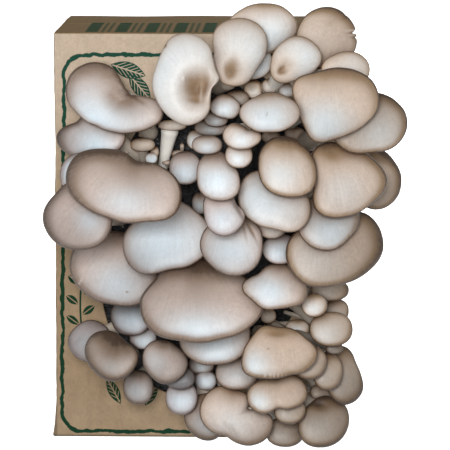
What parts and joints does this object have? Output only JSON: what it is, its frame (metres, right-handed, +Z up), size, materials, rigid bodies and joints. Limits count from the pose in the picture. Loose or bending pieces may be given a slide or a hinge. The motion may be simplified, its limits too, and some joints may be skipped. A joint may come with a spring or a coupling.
{
  "type": "oyster mushroom grow kit",
  "caption": "Kraft carton with an oval front window, a block of growing medium in a black bag inside it, and a cluster of oyster mushrooms growing out of the window.",
  "frame": {"origin": "middle of the carton's underside, where the kit stands", "axes": "+Z up, +X to the right along the carton's front, +Y from the window towards the carton's back"},
  "size_m": [0.2201, 0.2257, 0.2733],
  "materials": {
    "kraft_board": "matte",
    "black_bag": "satin",
    "mushroom_flesh": "satin"
  },
  "bodies": {
    "root": {"bouquet_foots": "mushroom_flesh", "bouquet_lows": "mushroom_flesh", "bouquet_mids": "mushroom_flesh", "bouquet_necks": "mushroom_flesh", "bouquet_sides": "mushroom_flesh", "bouquet_sides_low": "mushroom_flesh", "bouquet_slots": "mushroom_flesh", "bouquet_split": "mushroom_flesh", "bouquet_top": "mushroom_flesh", "carton": "kraft_board", "growing_block": "black_bag", "mushroom_big_white": "mushroom_flesh", "mushroom_bud_low": "mushroom_flesh", "mushroom_centre_folded": "mushroom_flesh", "mushroom_centre_pale": "mushroom_flesh", "mushroom_centre_white": "mushroom_flesh", "mushroom_crown_right": "mushroom_flesh", "mushroom_crown_small": "mushroom_flesh", "mushroom_far_right": "mushroom_flesh", "mushroom_far_right_low": "mushroom_flesh", "mushroom_foot_back": "mushroom_flesh", "mushroom_foot_blue": "mushroom_flesh", "mushroom_foot_grey": "mushroom_flesh", "mushroom_foot_shell": "mushroom_flesh", "mushroom_heart_big": "mushroom_flesh", "mushroom_heart_side": "mushroom_flesh", "mushroom_left_bean": "mushroom_flesh", "mushroom_left_fan": "mushroom_flesh", "mushroom_left_low_shell": "mushroom_flesh", "mushroom_left_shell": "mushroom_flesh", "mushroom_left_sliver": "mushroom_flesh", "mushroom_left_wing": "mushroom_flesh", "mushroom_low_left_back": "mushroom_flesh", "mushroom_low_left_dark": "mushroom_flesh", "mushroom_low_left_pale": "mushroom_flesh", "mushroom_low_pair": "mushroom_flesh", "mushroom_low_right_brown": "mushroom_flesh", "mushroom_low_right_dark": "mushroom_flesh", "mushroom_low_white": "mushroom_flesh", "mushroom_mid_back": "mushroom_flesh", "mushroom_mid_brown": "mushroom_flesh", "mushroom_mid_fold": "mushroom_flesh", "mushroom_mid_round": "mushroom_flesh", "mushroom_mid_slip": "mushroom_flesh", "mushroom_mid_small": "mushroom_flesh", "mushroom_right_brown": "mushroom_flesh", "mushroom_right_mid": "mushroom_flesh", "mushroom_right_oval": "mushroom_flesh", "mushroom_right_pale": "mushroom_flesh", "mushroom_stalked": "mushroom_flesh", "mushroom_top_oval": "mushroom_flesh", "mushroom_under_white": "mushroom_flesh", "mushroom_under_white_low": "mushroom_flesh"}
  },
  "joints": []
}
